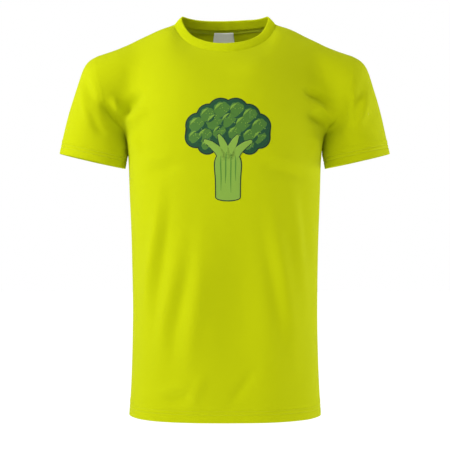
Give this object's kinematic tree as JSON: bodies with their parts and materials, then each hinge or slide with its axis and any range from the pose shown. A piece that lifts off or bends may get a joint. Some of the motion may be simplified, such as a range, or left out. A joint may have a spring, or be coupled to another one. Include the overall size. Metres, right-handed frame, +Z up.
{
  "type": "printed t-shirt",
  "caption": "Short-sleeved crew-neck T-shirt in lime-green jersey, filled out as when worn, with a ribbed collar and a plain broccoli print on the chest.",
  "frame": {"origin": "middle of the neck opening, level with the top of the collar at the shoulders", "axes": "+Z up towards the wearer's head, -Y out of the shirt's front, +X towards the wearer's left"},
  "size_m": [0.5838, 0.2334, 0.7012],
  "materials": {
    "jersey": "lime-green single jersey, matt",
    "rib": "lime-green 1x1 rib, matt",
    "thread": "lime-green sewing and overlock thread",
    "tape": "lime-green jersey tape",
    "label": "blank white satin label",
    "print": "matt textile ink in three greens"
  },
  "bodies": {
    "root": {"front_panel": "jersey", "back_panel": "jersey", "left_sleeve": "jersey", "right_sleeve": "jersey", "neck_rib": "rib", "neck_tape": "tape", "neck_label": "label", "care_label": "label", "chest_print": "print", "left_side_seam": "thread", "left_shoulder_seam": "thread", "left_sleeve_seam": "thread", "left_armhole_seam": "thread", "right_side_seam": "thread", "right_shoulder_seam": "thread", "right_sleeve_seam": "thread", "right_armhole_seam": "thread", "front_neck_seam": "thread", "hem_stitch_upper": "thread", "hem_stitch_lower": "thread", "left_cuff_stitch_upper": "thread", "left_cuff_stitch_lower": "thread", "right_cuff_stitch_upper": "thread", "right_cuff_stitch_lower": "thread", "tape_stitch_upper": "thread", "tape_stitch_lower": "thread"}
  },
  "joints": []
}
